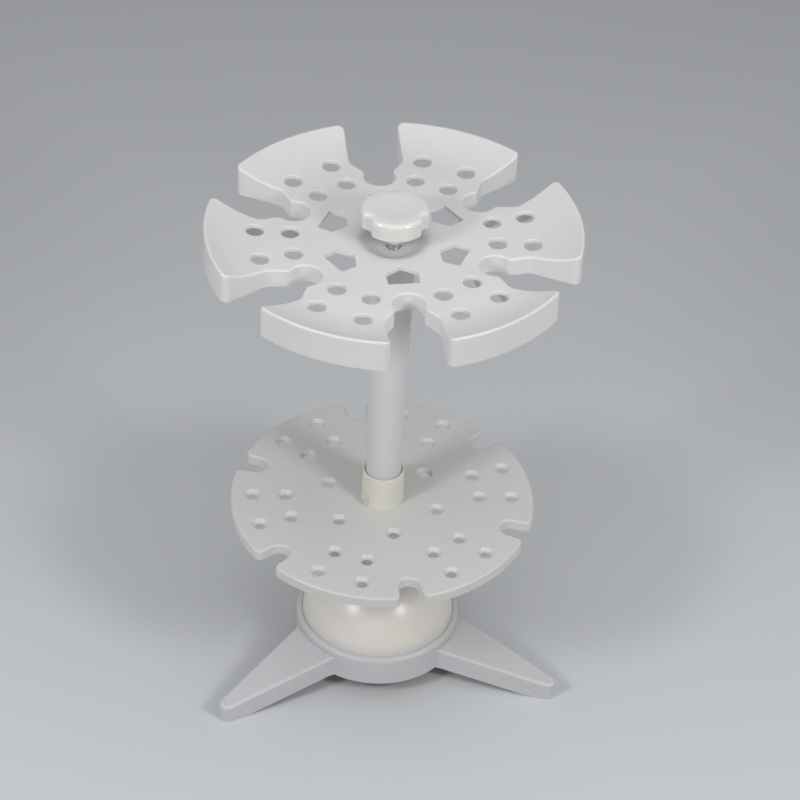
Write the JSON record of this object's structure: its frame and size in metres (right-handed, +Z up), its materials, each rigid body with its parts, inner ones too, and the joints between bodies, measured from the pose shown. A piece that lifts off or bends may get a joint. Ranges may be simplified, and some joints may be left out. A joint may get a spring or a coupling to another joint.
{
  "type": "rotating pipette stand",
  "caption": "Carousel stand for pipettes: petal-shaped upper tray and round lower disc with holes and slots on a column that turns on a three-legged base, clamped by a star knob.",
  "frame": {"origin": "on the floor, directly under the axis of the column", "axes": "+Z up along the column; the three legs point along +Y and 30 degrees below +X and -X; one of the tray's petals points along +X"},
  "size_m": [0.23, 0.2414, 0.3587],
  "materials": {
    "base_moulding": "smooth ivory moulding",
    "column_moulding": "smooth ivory moulding",
    "collar_moulding": "smooth cream moulding",
    "disc_moulding": "fine satin ivory moulding",
    "tray_moulding": "fine satin ivory moulding",
    "knob_moulding": "glossy, slightly translucent white",
    "zinc_steel": "bright zinc plate",
    "bright_steel": "ground steel",
    "spring_steel": "dark spring steel",
    "bearing_plastic": "natural acetal"
  },
  "bodies": {
    "base": {"base": "base_moulding", "pivot_rod": "bright_steel", "rod_washer": "zinc_steel", "rod_nut": "zinc_steel", "lower_sleeve": "column_moulding", "thrust_washer": "bearing_plastic", "retaining_clip": "spring_steel"},
    "carousel": {"lower_disc": "disc_moulding", "hub_bush": "bearing_plastic", "column_collar": "collar_moulding", "column": "column_moulding", "column_guide": "bearing_plastic", "column_plug": "column_moulding", "captive_nut": "zinc_steel"},
    "tray": {"upper_tray": "tray_moulding"},
    "stud": {"knob_stud": "zinc_steel"},
    "knob": {"star_knob": "knob_moulding"}
  },
  "joints": [
    {"name": "carousel_spin", "type": "hinge", "parent": "base", "child": "carousel", "pos_m": [0, 0, 0.12], "axis": [0, 0, 1], "continuous": true},
    {"name": "tray_turn", "type": "hinge", "parent": "carousel", "child": "tray", "pos_m": [0, 0, 0.327], "axis": [0, 0, 1], "continuous": true},
    {"name": "knob_rise", "type": "slide", "parent": "carousel", "child": "stud", "axis": [0, 0, 1], "range_m": [-0.00501, 0.01251]},
    {"name": "knob_turn", "type": "hinge", "parent": "stud", "child": "knob", "pos_m": [0, 0, 0.345], "axis": [0, 0, 1], "range_deg": [-1440, 3600]}
  ],
  "couplings": [
    {"joint": "knob_rise", "follows": "knob_turn", "m_per_rad": 0.00019894}
  ]
}
